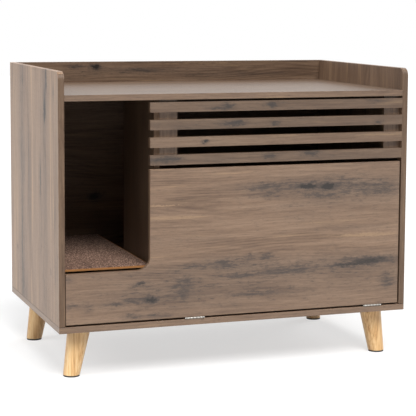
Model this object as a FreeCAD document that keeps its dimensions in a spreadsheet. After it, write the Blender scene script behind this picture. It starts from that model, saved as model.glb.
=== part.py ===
"""Cat litter box cabinet on four splayed legs, with a drop-down flap door, a louver and a carpeted step.

Millimetres. The origin lies on the floor under the middle of the cabinet, +X to the right as seen
from the front, +Y to the back and +Z up. Every board, leg, hinge leaf and fastener is its own solid.
"""

import FreeCAD
import Part
import Sketcher
import os

# Driving dimensions: real sizes in millimetres, and counts.
SIZES = {
    # carcass
    "width": 920,
    "depth": 550,
    "body_height": 630,
    "gallery_height": 56,
    "gallery_corner": 20,
    "board": 15,
    "edge_break": 0.6,
    # partition between the entrance and the litter box room
    "entrance_width": 226,
    "partition_depth": 265,
    "partition_back_off": 0.3,
    # flap door
    "door_side_gap_left": 1.5,
    "door_side_gap_right": 4.5,
    "door_bottom_gap": 5,
    "door_height": 370.5,
    "door_step_height": 123.5,
    "door_overlap": 13.5,
    "notch_radius": 30,
    # louver
    "slat_share": 0.57,
    "slat_top_gap": 5.5,
    "slat_door_gap": 9.5,
    "stile_width": 45,
    "stile_reach": 2.5,
    # carpeted board and its battens
    "carpet_core": 5,
    "carpet_felt": 1,
    "felt_margin": 2.5,
    "carpet_level": 131,
    "carpet_front_inset": 27,
    "carpet_play": 3,
    "batten": 15,
    "batten_front_inset": 65,
    # legs
    "leg_height": 121,
    "leg_inset_side": 66,
    "leg_inset_front": 67,
    "leg_splay": 20,
    "leg_top_radius": 28.5,
    "leg_foot_radius": 20.5,
    "pad_thickness": 4,
    "pad_inset": 0.4,
    # butt hinges
    "hinge_length": 50,
    "hinge_left_from_side": 318,
    "hinge_right_from_side": 67,
    "leaf_depth": 14,
    "leaf_thickness": 1.2,
    "knuckle_radius": 2.3,
    "knuckle_gap": 0.2,
    "pin_radius": 1.1,
    "running_gap": 0.05,
    # magnetic catches
    "catch_length": 46,
    "catch_width": 13,
    "catch_depth": 16,
    "catch_below_door_top": 45,
    "catch_gap": 0.3,
    "magnet_length": 24,
    "magnet_width": 5,
    "magnet_depth": 10,
    "strike_length": 34,
    "strike_width": 12,
    "strike_thickness": 1.5,
    # cams and dowels
    "cam_radius": 7.5,
    "cam_depth": 12.5,
    "cam_setback": 34,
    "cam_inset": 70,
    "cam_bolt_radius": 3,
    "cam_bolt_neck": 1.9,
    "cam_bolt_thread": 10,
    "dowel_radius": 4,
    "dowel_in_face": 9,
    "dowel_in_edge": 21,
    "dowel_spacing": 32,
    "fit_gap": 0.05,
    # screws
    "confirmat_radius": 2.5,
    "confirmat_neck": 3.5,
    "confirmat_head": 5,
    "confirmat_length": 50,
    "confirmat_inset": 45,
    "confirmat_side_inset": 180,
    "confirmat_socket": 2.3,
    "confirmat_socket_depth": 4,
    "screw_radius": 1.6,
    "screw_head": 3.4,
    "screw_head_depth": 1.8,
    "slat_screw_length": 25,
    "batten_screw_length": 25,
    "catch_screw_length": 24,
    "strike_screw_length": 12,
    "hinge_screw_radius": 1.5,
    "hinge_screw_head": 2.8,
    "hinge_screw_length": 12,
    # leg fixings
    "bolt_radius": 4,
    "bolt_in_leg": 40,
    "tnut_barrel_radius": 5.5,
    "tnut_barrel_length": 11,
    "tnut_flange_radius": 11,
    "tnut_flange_thickness": 1.5,
}

KNUCKLES = 5
AXES = {
    "+x": FreeCAD.Vector(1, 0, 0),
    "-x": FreeCAD.Vector(-1, 0, 0),
    "+y": FreeCAD.Vector(0, 1, 0),
    "-y": FreeCAD.Vector(0, -1, 0),
    "+z": FreeCAD.Vector(0, 0, 1),
    "-z": FreeCAD.Vector(0, 0, -1),
}

doc = FreeCAD.newDocument("LitterCabinet")
sheet = doc.addObject("Spreadsheet::Sheet", "Sizes")
for row, (alias, value) in enumerate(SIZES.items(), start=1):
    sheet.set(f"A{row}", alias)
    sheet.set(f"B{row}", str(value))
    sheet.setAlias(f"B{row}", alias)
doc.recompute()

subparts = []
bores = {}


# --- places worked out from the driving dimensions, as expressions -------------------------------

LEFT = "(-Sizes.width/2)"
RIGHT = "(Sizes.width/2)"
FRONT = "((Sizes.knuckle_radius-Sizes.depth)/2)"
BACK = f"({FRONT}+Sizes.depth)"
INNER_LEFT = f"({LEFT}+Sizes.board)"
INNER_RIGHT = f"({RIGHT}-Sizes.board)"
INNER_BACK = f"({BACK}-Sizes.board)"
BEHIND_FRONT = f"({FRONT}+Sizes.board)"
UNDERSIDE = "Sizes.leg_height"
FLOOR = f"({UNDERSIDE}+Sizes.board)"
CROWN = f"({UNDERSIDE}+Sizes.body_height)"
TOP_UPPER = f"({CROWN}-Sizes.gallery_height)"
TOP_LOWER = f"({TOP_UPPER}-Sizes.board)"
TOP_MIDDLE = f"({TOP_UPPER}-Sizes.board/2)"

PARTITION_LEFT = f"({INNER_LEFT}+Sizes.entrance_width)"
PARTITION_RIGHT = f"({PARTITION_LEFT}+Sizes.board)"
PARTITION_MIDDLE = f"({PARTITION_LEFT}+Sizes.board/2)"
PARTITION_FRONT = f"({BEHIND_FRONT}+Sizes.partition_back_off)"
PARTITION_BACK = f"({PARTITION_FRONT}+Sizes.partition_depth)"

DOOR_LEFT = f"({INNER_LEFT}+Sizes.door_side_gap_left)"
DOOR_RIGHT = f"({INNER_RIGHT}-Sizes.door_side_gap_right)"
DOOR_BOTTOM = f"({FLOOR}+Sizes.door_bottom_gap)"
DOOR_TOP = f"({DOOR_BOTTOM}+Sizes.door_height)"
DOOR_STEP = f"({DOOR_BOTTOM}+Sizes.door_step_height)"
NOTCH_SIDE = f"({PARTITION_LEFT}-Sizes.door_overlap)"

LOUVER_BACK = f"({BEHIND_FRONT}+Sizes.board)"
SLAT_COUNT = 4
SLAT_TOP = f"({TOP_LOWER}-Sizes.slat_top_gap)"
LOUVER_BOTTOM = f"({DOOR_TOP}+Sizes.slat_door_gap)"
SLAT_PITCH = f"(({SLAT_TOP}-{LOUVER_BOTTOM})/({SLAT_COUNT - 1}+Sizes.slat_share))"
SLAT_HEIGHT = f"(Sizes.slat_share*{SLAT_PITCH})"
STILE_BOTTOM = f"({LOUVER_BOTTOM}-Sizes.stile_reach)"
STILES = {
    "left": (PARTITION_RIGHT, f"({PARTITION_RIGHT}+Sizes.stile_width)"),
    "right": (f"({INNER_RIGHT}-Sizes.stile_width)", INNER_RIGHT),
}

CARPET_BOTTOM = f"({FLOOR}+Sizes.carpet_level)"
CARPET_MIDDLE = f"({CARPET_BOTTOM}+Sizes.carpet_core)"
CARPET_FRONT = f"({FRONT}+Sizes.carpet_front_inset)"
CARPET_BACK = f"({INNER_BACK}-Sizes.carpet_play)"
CARPET_LEFT = f"({INNER_LEFT}+Sizes.carpet_play)"
CARPET_RIGHT = f"({PARTITION_LEFT}-Sizes.carpet_play)"
BATTEN_BOTTOM = f"({CARPET_BOTTOM}-Sizes.batten)"
BATTEN_MIDDLE = f"({CARPET_BOTTOM}-Sizes.batten/2)"
BATTEN_FRONT = f"({FRONT}+Sizes.batten_front_inset)"
REAR_BATTEN_FRONT = f"({INNER_BACK}-Sizes.batten)"

HINGE_Z = f"({FLOOR}+Sizes.door_bottom_gap/2)"
HINGES = {
    "left": f"({LEFT}+Sizes.hinge_left_from_side)",
    "right": f"({RIGHT}-Sizes.hinge_right_from_side-Sizes.hinge_length)",
}

CATCH_Z = f"({DOOR_TOP}-Sizes.catch_below_door_top)"
STRIKE_BACK = f"({BEHIND_FRONT}+Sizes.strike_thickness)"
CATCH_FRONT = f"({STRIKE_BACK}+Sizes.catch_gap)"
CATCHES = {"left": (PARTITION_RIGHT, "+x"), "right": (INNER_RIGHT, "-x")}

CAM_ROWS = (f"({FRONT}+Sizes.cam_inset)", f"({INNER_BACK}-Sizes.cam_inset)")
DOWEL_ROWS = (
    f"({FRONT}+Sizes.cam_inset+Sizes.dowel_spacing)",
    f"({INNER_BACK}-Sizes.cam_inset-Sizes.dowel_spacing)",
)
LEGS = {
    "front_left": (-1, -1),
    "front_right": (1, -1),
    "rear_left": (-1, 1),
    "rear_right": (1, 1),
}


# --- building blocks -----------------------------------------------------------------------------


def number(expression):
    """The present value of an expression of the sheet's sizes."""
    return float(sheet.evalExpression(expression))


def bind(thing, **expressions):
    """Ties properties of an object to expressions."""
    for name, expression in expressions.items():
        thing.setExpression(name, expression)


def place(thing, point, axis="+z"):
    """Puts an object at a point given as three expressions, with its own Z along the axis."""
    turn = FreeCAD.Rotation(FreeCAD.Vector(0, 0, 1), AXES[axis])
    thing.Placement = FreeCAD.Placement(FreeCAD.Vector(0, 0, 0), turn)
    for letter, expression in zip("xyz", point):
        thing.setExpression(f".Placement.Base.{letter}", expression)


def step(point, axis, distance):
    """The point that lies a distance further along the axis."""
    moved = list(point)
    index = "xyz".index(axis[1])
    moved[index] = f"({moved[index]}{axis[0]}({distance}))"
    return tuple(moved)


def opposite(axis):
    """The same axis pointing the other way."""
    return ("-" if axis[0] == "+" else "+") + axis[1]


def keep(thing, label):
    """Names a finished sub-part."""
    thing.Label = label
    subparts.append(thing)
    return thing


def block(low, high):
    """A rectangular block between two corners."""
    made = doc.addObject("Part::Box", "Block")
    bind(
        made,
        Length=f"{high[0]}-{low[0]}",
        Width=f"{high[1]}-{low[1]}",
        Height=f"{high[2]}-{low[2]}",
    )
    place(made, low)
    return made


def rod(point, axis, radius, length):
    """A round rod that starts at a point and runs along an axis."""
    made = doc.addObject("Part::Cylinder", "Rod")
    bind(made, Radius=radius, Height=length)
    place(made, point, axis)
    return made


def taper(point, axis, start_radius, end_radius, length):
    """A cone frustum that starts at a point and runs along an axis."""
    made = doc.addObject("Part::Cone", "Taper")
    bind(made, Radius1=start_radius, Radius2=end_radius, Height=length)
    place(made, point, axis)
    return made


def hexagon(point, axis, radius, length):
    """A six-sided rod, the radius being to its corners, that starts at a point."""
    made = doc.addObject("Part::Prism", "Hexagon")
    made.Polygon = 6
    bind(made, Circumradius=radius, Height=length)
    place(made, point, axis)
    return made


def joined(pieces):
    """One solid of several that overlap or touch."""
    made = doc.addObject("Part::MultiFuse", "Joined")
    made.Shapes = pieces
    return made


def without(base, tools):
    """The base with the tools cut out of it."""
    made = doc.addObject("Part::Cut", "Machined")
    made.Base = base
    made.Tool = tools[0] if len(tools) == 1 else joined(tools)
    return made


def group(pieces, label):
    """Like pieces kept together as separate solids."""
    made = doc.addObject("Part::Compound", "Set")
    made.Links = pieces
    return keep(made, label)


def plane_of(body, role):
    """The body's own origin plane with a role such as XY_Plane."""
    return next(p for p in body.Origin.OriginFeatures if p.Role == role)


def outline(sketch, corners):
    """A closed outline of straight lines, each corner held by its two expressions."""
    points = [FreeCAD.Vector(number(u), number(v), 0) for u, v in corners]
    count = len(points)
    for i in range(count):
        sketch.addGeometry(Part.LineSegment(points[i], points[(i + 1) % count]))
    for i in range(count):
        sketch.addConstraint(Sketcher.Constraint("Coincident", i, 2, (i + 1) % count, 1))
    for i, (u, v) in enumerate(corners):
        across = sketch.addConstraint(
            Sketcher.Constraint("DistanceX", -1, 1, i, 1, points[i].x)
        )
        sketch.setExpression(f"Constraints[{across}]", u)
        up = sketch.addConstraint(Sketcher.Constraint("DistanceY", -1, 1, i, 1, points[i].y))
        sketch.setExpression(f"Constraints[{up}]", v)


def nearest_edge(shape, point):
    """The name of the edge whose middle is nearest to a point."""
    distances = [(e.CenterOfMass - point).Length for e in shape.Edges]
    return f"Edge{distances.index(min(distances)) + 1}"


def board(name, role, corners, start, round_edge=None):
    """A panel of board: its outline padded by the thickness, with its edges just broken.

    The outline lies in an origin plane, the start is the face from which the board grows, and
    round_edge is a radius and the point near which one corner is rounded.
    """
    body = doc.addObject("PartDesign::Body", name)
    sketch = body.newObject("Sketcher::SketchObject", f"{name}Outline")
    sketch.AttachmentSupport = [(plane_of(body, role), "")]
    sketch.MapMode = "FlatFace"
    outline(sketch, corners)
    pad = body.newObject("PartDesign::Pad", f"{name}Pad")
    pad.Profile = sketch
    bind(pad, Length="Sizes.board")
    doc.recompute()
    last = pad
    if round_edge:
        radius, middle = round_edge
        corner = body.newObject("PartDesign::Fillet", f"{name}Corner")
        corner.Base = (pad, [nearest_edge(pad.Shape, middle)])
        bind(corner, Radius=radius)
        doc.recompute()
        last = corner
    broken = body.newObject("PartDesign::Chamfer", f"{name}Edges")
    broken.Base = (last, [])
    broken.UseAllEdges = True
    bind(broken, Size="Sizes.edge_break")
    letter = {"YZ_Plane": "x", "XZ_Plane": "y", "XY_Plane": "z"}[role]
    body.setExpression(f".Placement.Base.{letter}", start)
    doc.recompute()
    bores[name] = []
    return body


def drill(panel, point, axis, radius, depth):
    """Notes a round hole to be drilled in a panel."""
    bores[panel].append(rod(point, axis, radius, depth))


def drilled(panel, body, label):
    """The panel with all its holes, kept as a sub-part."""
    return keep(without(body, bores[panel]) if bores[panel] else body, label)


# --- fasteners, each with the holes that it needs ------------------------------------------------

cams, cam_bolts, dowels, confirmats = [], [], [], []
BOLT_REACH = "(Sizes.cam_setback+Sizes.cam_bolt_radius)"
FIT_CAM = "(Sizes.cam_radius+Sizes.fit_gap)"
FIT_BOLT = "(Sizes.cam_bolt_radius+Sizes.fit_gap)"
FIT_DOWEL = "(Sizes.dowel_radius+Sizes.fit_gap)"


def cam_joint(face_panel, edge_panel, point, axis, disc_face, disc_axis):
    """A cam and its bolt: the bolt is screwed into a face and pulled into the other board's edge.

    The point is where the bolt leaves the face. disc_face holds the expression of the coordinate
    of the surface that the disc is let into, and disc_axis points from there into the board.
    """
    thread = "Sizes.cam_bolt_thread"
    neck_start = "(Sizes.cam_setback-Sizes.cam_radius+Sizes.fit_gap)"
    shank = rod(
        step(point, opposite(axis), thread),
        axis,
        "Sizes.cam_bolt_radius",
        f"{thread}+{neck_start}",
    )
    neck = rod(
        step(point, axis, neck_start), axis, "Sizes.cam_bolt_neck", "Sizes.cam_radius"
    )
    head = rod(
        step(point, axis, "Sizes.cam_setback"),
        axis,
        "Sizes.cam_bolt_radius",
        "Sizes.cam_bolt_radius",
    )
    cam_bolts.append(joined([shank, neck, head]))
    drill(face_panel, point, opposite(axis), FIT_BOLT, f"{thread}+Sizes.fit_gap")
    drill(edge_panel, step(point, opposite(axis), 1), axis, FIT_BOLT, "Sizes.cam_setback")
    centre = list(step(point, axis, "Sizes.cam_setback"))
    centre["xyz".index(disc_axis[1])] = disc_face
    disc = rod(centre, disc_axis, "Sizes.cam_radius", "Sizes.cam_depth")
    slot = rod(
        step(point, axis, "Sizes.cam_setback-2*Sizes.cam_radius"),
        axis,
        FIT_BOLT,
        "2*Sizes.cam_radius+Sizes.cam_bolt_radius+Sizes.fit_gap",
    )
    cams.append(without(disc, [slot]))
    drill(
        edge_panel,
        step(centre, opposite(disc_axis), 1),
        disc_axis,
        FIT_CAM,
        "Sizes.cam_depth+1+Sizes.fit_gap",
    )


def dowel(face_panel, edge_panel, point, axis):
    """A wooden dowel: short in the face that the point lies on, long in the other board's edge."""
    in_face, in_edge = "Sizes.dowel_in_face", "Sizes.dowel_in_edge"
    pin = rod(
        step(point, opposite(axis), in_face), axis, "Sizes.dowel_radius", f"{in_face}+{in_edge}"
    )
    dowels.append(pin)
    drill(face_panel, point, opposite(axis), FIT_DOWEL, f"{in_face}+Sizes.fit_gap")
    drill(
        edge_panel, step(point, opposite(axis), 1), axis, FIT_DOWEL, f"{in_edge}+1+Sizes.fit_gap"
    )


def confirmat(face_panel, edge_panel, point, axis):
    """A one-piece connector: countersunk in one board's face, threaded into the other's edge."""
    board_left = "(Sizes.board-Sizes.confirmat_head)"
    head = taper(
        point, axis, "Sizes.confirmat_head", "Sizes.confirmat_neck", "Sizes.confirmat_head"
    )
    neck = rod(
        step(point, axis, "Sizes.confirmat_head"), axis, "Sizes.confirmat_neck", board_left
    )
    thread = rod(
        step(point, axis, "Sizes.board"),
        axis,
        "Sizes.confirmat_radius",
        "Sizes.confirmat_length-Sizes.board",
    )
    socket = hexagon(point, axis, "Sizes.confirmat_socket", "Sizes.confirmat_socket_depth")
    confirmats.append(without(joined([head, neck, thread]), [socket]))
    gap = "Sizes.fit_gap"
    bores[face_panel].append(
        taper(
            point,
            axis,
            f"Sizes.confirmat_head+{gap}",
            f"Sizes.confirmat_neck+{gap}",
            "Sizes.confirmat_head",
        )
    )
    drill(face_panel, point, axis, f"Sizes.confirmat_neck+{gap}", "Sizes.board+1")
    drill(
        edge_panel,
        point,
        axis,
        f"Sizes.confirmat_radius+{gap}",
        f"Sizes.confirmat_length+{gap}",
    )


def wood_screw(point, axis, length, radius="Sizes.screw_radius", head="Sizes.screw_head",
               head_depth="Sizes.screw_head_depth"):
    """A countersunk wood screw whose head lies flush with the surface at the point."""
    cone = taper(point, axis, head, radius, head_depth)
    shank = rod(step(point, axis, head_depth), axis, radius, f"{length}-{head_depth}")
    return joined([cone, shank])


def screw_hole(point, axis, length, radius="Sizes.screw_radius", head="Sizes.screw_head",
               head_depth="Sizes.screw_head_depth"):
    """The two tools that cut the room for a countersunk screw."""
    gap = "Sizes.fit_gap"
    cone = taper(point, axis, f"{head}+{gap}", f"{radius}+{gap}", head_depth)
    shank = rod(point, axis, f"{radius}+{gap}", f"{length}+{gap}")
    return [cone, shank]


# --- carcass boards ------------------------------------------------------------------------------


def carcass_boards():
    """The bare boards of the cabinet, before drilling."""
    side = [(FRONT, FLOOR), (BACK, FLOOR), (BACK, CROWN), (FRONT, CROWN)]
    made = {}
    for name, start in (("LeftSide", LEFT), ("RightSide", INNER_RIGHT)):
        corner = FreeCAD.Vector(number("Sizes.board/2"), number(FRONT), number(CROWN))
        made[name] = board(name, "YZ_Plane", side, start, ("Sizes.gallery_corner", corner))
    made["Bottom"] = board(
        "Bottom",
        "XY_Plane",
        [(LEFT, FRONT), (RIGHT, FRONT), (RIGHT, BACK), (LEFT, BACK)],
        UNDERSIDE,
    )
    made["Top"] = board(
        "Top",
        "XY_Plane",
        [
            (INNER_LEFT, FRONT),
            (INNER_RIGHT, FRONT),
            (INNER_RIGHT, INNER_BACK),
            (INNER_LEFT, INNER_BACK),
        ],
        TOP_LOWER,
    )
    made["Back"] = board(
        "Back",
        "XZ_Plane",
        [(INNER_LEFT, FLOOR), (INNER_RIGHT, FLOOR), (INNER_RIGHT, CROWN), (INNER_LEFT, CROWN)],
        BACK,
    )
    made["Partition"] = board(
        "Partition",
        "YZ_Plane",
        [
            (PARTITION_FRONT, FLOOR),
            (PARTITION_BACK, FLOOR),
            (PARTITION_BACK, TOP_LOWER),
            (PARTITION_FRONT, TOP_LOWER),
        ],
        PARTITION_LEFT,
    )
    return made


def carcass_joints():
    """Cams, dowels and connectors that hold the carcass boards together."""
    sides = (("LeftSide", LEFT, INNER_LEFT, "+x"), ("RightSide", INNER_RIGHT, INNER_RIGHT, "-x"))
    back_middle = f"({BACK}-Sizes.board/2)"
    back_rows = (f"({FLOOR}+Sizes.cam_inset)", f"({TOP_LOWER}-Sizes.cam_inset)")
    for side, outer, inner, inward in sides:
        middle = f"({outer}+Sizes.board/2)"
        for y in CAM_ROWS:
            cam_joint("Bottom", side, (middle, y, FLOOR), "+z", inner, opposite(inward))
            cam_joint(side, "Top", (inner, y, TOP_MIDDLE), inward, TOP_LOWER, "+z")
        for y in DOWEL_ROWS:
            dowel("Bottom", side, (middle, y, FLOOR), "+z")
            dowel(side, "Top", (inner, y, TOP_MIDDLE), inward)
        for z in back_rows:
            cam_joint(side, "Back", (inner, back_middle, z), inward, BACK, "-y")
    for i in (-1, 0, 1):
        x = f"({i}*(Sizes.width/2-Sizes.confirmat_side_inset))"
        confirmat("Bottom", "Back", (x, back_middle, UNDERSIDE), "+z")
        confirmat("Back", "Top", (x, BACK, TOP_MIDDLE), "-y")
    for y in (
        f"({PARTITION_FRONT}+Sizes.confirmat_inset)",
        f"({PARTITION_BACK}-Sizes.confirmat_inset)",
    ):
        confirmat("Bottom", "Partition", (PARTITION_MIDDLE, y, UNDERSIDE), "+z")
        dowel("Top", "Partition", (PARTITION_MIDDLE, y, TOP_LOWER), "-z")


# --- louver --------------------------------------------------------------------------------------


def louver():
    """Four slats screwed from behind to two upright stiles that are dowelled to the carcass."""
    screws = []
    stile_holes = {"left": [], "right": []}
    for i in range(SLAT_COUNT):
        high = f"({SLAT_TOP}-{i}*{SLAT_PITCH})"
        low = f"({high}-{SLAT_HEIGHT})"
        slat = block(
            (f"({NOTCH_SIDE})", FRONT, low), (f"({INNER_RIGHT}-Sizes.fit_gap)", BEHIND_FRONT, high)
        )
        holes = []
        for side, (x_low, x_high) in STILES.items():
            x = f"(({x_low}+{x_high})/2)"
            point = (x, LOUVER_BACK, f"({high}-{SLAT_HEIGHT}/2)")
            screws.append(wood_screw(point, "-y", "Sizes.slat_screw_length"))
            stile_holes[side] += screw_hole(point, "-y", "Sizes.slat_screw_length")
            holes += screw_hole(point, "-y", "Sizes.slat_screw_length")
        keep(without(slat, holes), f"louver_slat_{i + 1}")
    for side, (x_low, x_high) in STILES.items():
        bores[f"Stile_{side}"] = stile_holes[side]
        stile = block(
            (x_low, BEHIND_FRONT, STILE_BOTTOM), (x_high, LOUVER_BACK, TOP_LOWER)
        )
        panel, x, axis = {
            "left": ("Partition", x_low, "+x"),
            "right": ("RightSide", x_high, "-x"),
        }[side]
        y = f"({BEHIND_FRONT}+Sizes.board/2)"
        for z in (
            f"({STILE_BOTTOM}+{SLAT_PITCH}-{SLAT_HEIGHT}/4)",
            f"({SLAT_TOP}-{SLAT_PITCH}+{SLAT_HEIGHT}/4)",
        ):
            dowel(panel, f"Stile_{side}", (x, y, z), axis)
        drilled(f"Stile_{side}", stile, f"louver_stile_{side}")
    group(screws, "louver_slat_screws")


# --- carpeted board ------------------------------------------------------------------------------


def carpet_board():
    """The loose fibreboard step with felt on it, and the three battens that it lies on."""
    keep(
        block(
            (CARPET_LEFT, CARPET_FRONT, CARPET_BOTTOM), (CARPET_RIGHT, CARPET_BACK, CARPET_MIDDLE)
        ),
        "carpet_board_core",
    )
    margin = "Sizes.felt_margin"
    keep(
        block(
            (f"({CARPET_LEFT}+{margin})", f"({CARPET_FRONT}+{margin}/5)", CARPET_MIDDLE),
            (
                f"({CARPET_RIGHT}-{margin})",
                f"({CARPET_BACK}-{margin})",
                f"({CARPET_MIDDLE}+Sizes.carpet_felt)",
            ),
        ),
        "carpet_board_felt",
    )


def battens():
    """Three square battens on the side, the partition and the back, each held by screws."""
    length = "Sizes.batten_screw_length"
    screws = []
    left_inner = f"({INNER_LEFT}+Sizes.batten)"
    right_inner = f"({PARTITION_LEFT}-Sizes.batten)"
    rows = (
        f"({BATTEN_FRONT}+2*Sizes.batten)",
        f"(({BATTEN_FRONT}+{REAR_BATTEN_FRONT})/2)",
        f"({REAR_BATTEN_FRONT}-2*Sizes.batten)",
    )
    partition_rows = (
        f"({BATTEN_FRONT}+2*Sizes.batten)",
        f"({PARTITION_BACK}-2*Sizes.batten)",
    )
    rear_columns = (f"({left_inner}+2*Sizes.batten)", f"({right_inner}-2*Sizes.batten)")
    plans = (
        (
            "left",
            "LeftSide",
            (INNER_LEFT, BATTEN_FRONT, BATTEN_BOTTOM),
            (left_inner, INNER_BACK, CARPET_BOTTOM),
            [((left_inner, y, BATTEN_MIDDLE), "-x") for y in rows],
        ),
        (
            "partition",
            "Partition",
            (right_inner, BATTEN_FRONT, BATTEN_BOTTOM),
            (PARTITION_LEFT, PARTITION_BACK, CARPET_BOTTOM),
            [((right_inner, y, BATTEN_MIDDLE), "+x") for y in partition_rows],
        ),
        (
            "rear",
            "Back",
            (left_inner, REAR_BATTEN_FRONT, BATTEN_BOTTOM),
            (PARTITION_LEFT, INNER_BACK, CARPET_BOTTOM),
            [((x, REAR_BATTEN_FRONT, BATTEN_MIDDLE), "+y") for x in rear_columns],
        ),
    )
    for name, panel, low, high, places in plans:
        holes = []
        for point, axis in places:
            screws.append(wood_screw(point, axis, length))
            holes += screw_hole(point, axis, length)
            bores[panel] += screw_hole(point, axis, length)
        keep(without(block(low, high), holes), f"carpet_batten_{name}")
    group(screws, "carpet_batten_screws")


# --- flap door, hinges and catches ---------------------------------------------------------------


def flap_door_board():
    """The L-shaped door board: low under the entrance, tall beside it, with a rounded notch."""
    corners = [
        (DOOR_LEFT, DOOR_BOTTOM),
        (DOOR_RIGHT, DOOR_BOTTOM),
        (DOOR_RIGHT, DOOR_TOP),
        (NOTCH_SIDE, DOOR_TOP),
        (NOTCH_SIDE, DOOR_STEP),
        (DOOR_LEFT, DOOR_STEP),
    ]
    notch = FreeCAD.Vector(number(NOTCH_SIDE), number("-Sizes.board/2"), number(DOOR_STEP))
    return board("Door", "XZ_Plane", corners, BEHIND_FRONT, ("Sizes.notch_radius", notch))


def hinge_leaf(start, upward, wanted):
    """One leaf of a butt hinge: a plate with its own knuckles rolled round the pin.

    start is the x of the hinge's left end, upward is True for the leaf under the door, and wanted
    are the numbers of the knuckles that this leaf carries. The door's knuckles turn on the pin,
    the cabinet's grip it.
    """
    thickness = "Sizes.leaf_thickness"
    if upward:
        plate_low, plate_high = f"({DOOR_BOTTOM}-{thickness})", DOOR_BOTTOM
    else:
        plate_low, plate_high = FLOOR, f"({FLOOR}+{thickness})"
    plate_front = f"({FRONT}+Sizes.knuckle_radius+Sizes.knuckle_gap)"
    pieces = [
        block(
            (start, plate_front, plate_low),
            (f"({start}+Sizes.hinge_length)", f"({FRONT}+Sizes.leaf_depth)", plate_high),
        )
    ]
    pitch = f"(Sizes.hinge_length/{KNUCKLES})"
    tab_low = f"({plate_low}+Sizes.knuckle_gap)" if not upward else plate_low
    tab_high = plate_high if not upward else f"({plate_high}-Sizes.knuckle_gap)"
    for k in wanted:
        low_x = f"({start}+{k}*{pitch}+Sizes.knuckle_gap/2)"
        high_x = f"({start}+{k + 1}*{pitch}-Sizes.knuckle_gap/2)"
        pieces.append(
            rod((low_x, FRONT, HINGE_Z), "+x", "Sizes.knuckle_radius", f"{high_x}-{low_x}")
        )
        pieces.append(block((low_x, FRONT, tab_low), (high_x, plate_front, tab_high)))
    play = "Sizes.running_gap" if upward else "0"
    bore = rod(
        (f"({start}-1)", FRONT, HINGE_Z),
        "+x",
        f"Sizes.pin_radius+{play}",
        "Sizes.hinge_length+2",
    )
    return joined(pieces), bore


def hinges():
    """Two butt hinges in the gap under the door, with a pin and three screws for each leaf."""
    pins = []
    screws = {"cabinet": [], "door": []}
    radius, head = "Sizes.hinge_screw_radius", "Sizes.hinge_screw_head"
    length, depth = "Sizes.hinge_screw_length", "Sizes.leaf_thickness"
    leaves = (
        ("cabinet", "Bottom", False, (0, 2, 4), f"({FLOOR}+{depth})", "-z"),
        ("door", "Door", True, (1, 3), f"({DOOR_BOTTOM}-{depth})", "+z"),
    )
    screw_y = f"({FRONT}+(Sizes.leaf_depth+Sizes.knuckle_radius)/2)"
    for side, start in HINGES.items():
        for leaf, panel, upward, wanted, surface, axis in leaves:
            plate, bore = hinge_leaf(start, upward, wanted)
            holes = [bore]
            for k in (1, 3, 5):
                point = (f"({start}+{k}*Sizes.hinge_length/6)", screw_y, surface)
                screws[leaf].append(wood_screw(point, axis, length, radius, head, depth))
                holes += screw_hole(point, axis, length, radius, head, depth)
                bores[panel] += screw_hole(point, axis, length, radius, head, depth)
            keep(without(plate, holes), f"hinge_{side}_{leaf}_leaf")
        pins.append(
            rod((start, FRONT, HINGE_Z), "+x", "Sizes.pin_radius", "Sizes.hinge_length")
        )
    group(pins, "hinge_pins")
    group(screws["cabinet"], "hinge_cabinet_screws")
    group(screws["door"], "hinge_door_screws")


def catches():
    """Two magnetic catches behind the door's upper corners, and their strike plates on it."""
    magnets, plates, catch_screws, strike_screws = [], [], [], []
    half = "Sizes.catch_length/2"
    for side, (face, inward) in CATCHES.items():
        panel = "Partition" if side == "left" else "RightSide"
        far = step((face,), inward, "Sizes.catch_width")[0]
        x_low, x_high = (face, far) if inward == "+x" else (far, face)
        middle = f"(({x_low}+{x_high})/2)"
        y_back = f"({CATCH_FRONT}+Sizes.catch_depth)"
        housing = block(
            (x_low, CATCH_FRONT, f"({CATCH_Z}-{half})"), (x_high, y_back, f"({CATCH_Z}+{half})")
        )
        low_m = (
            f"({middle}-Sizes.magnet_width/2)",
            CATCH_FRONT,
            f"({CATCH_Z}-Sizes.magnet_length/2)",
        )
        high_m = (
            f"({middle}+Sizes.magnet_width/2)",
            f"({CATCH_FRONT}+Sizes.magnet_depth)",
            f"({CATCH_Z}+Sizes.magnet_length/2)",
        )
        magnets.append(block(low_m, high_m))
        tools = [block(low_m, high_m)]
        for sign in (-1, 1):
            z = f"({CATCH_Z}+({sign})*(Sizes.catch_length+Sizes.magnet_length)/4)"
            point = (far, f"({CATCH_FRONT}+Sizes.catch_depth/2)", z)
            axis = opposite(inward)
            catch_screws.append(wood_screw(point, axis, "Sizes.catch_screw_length"))
            tools += screw_hole(point, axis, "Sizes.catch_screw_length")
            bores[panel] += screw_hole(point, axis, "Sizes.catch_screw_length")
        keep(without(housing, tools), f"magnet_catch_{side}")
        plate = block(
            (
                f"({middle}-Sizes.strike_width/2)",
                BEHIND_FRONT,
                f"({CATCH_Z}-Sizes.strike_length/2)",
            ),
            (
                f"({middle}+Sizes.strike_width/2)",
                STRIKE_BACK,
                f"({CATCH_Z}+Sizes.strike_length/2)",
            ),
        )
        point = (middle, STRIKE_BACK, CATCH_Z)
        length, depth = "Sizes.strike_screw_length", "Sizes.strike_thickness"
        radius, head = "Sizes.screw_radius", "Sizes.screw_head"
        strike_screws.append(wood_screw(point, "-y", length, radius, head, depth))
        plates.append(without(plate, screw_hole(point, "-y", length, radius, head, depth)))
        bores["Door"] += screw_hole(point, "-y", length, radius, head, depth)
    group(magnets, "catch_magnets")
    group(plates, "catch_strike_plates")
    group(catch_screws, "catch_screws")
    group(strike_screws, "strike_plate_screws")


# --- legs ----------------------------------------------------------------------------------------


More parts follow.
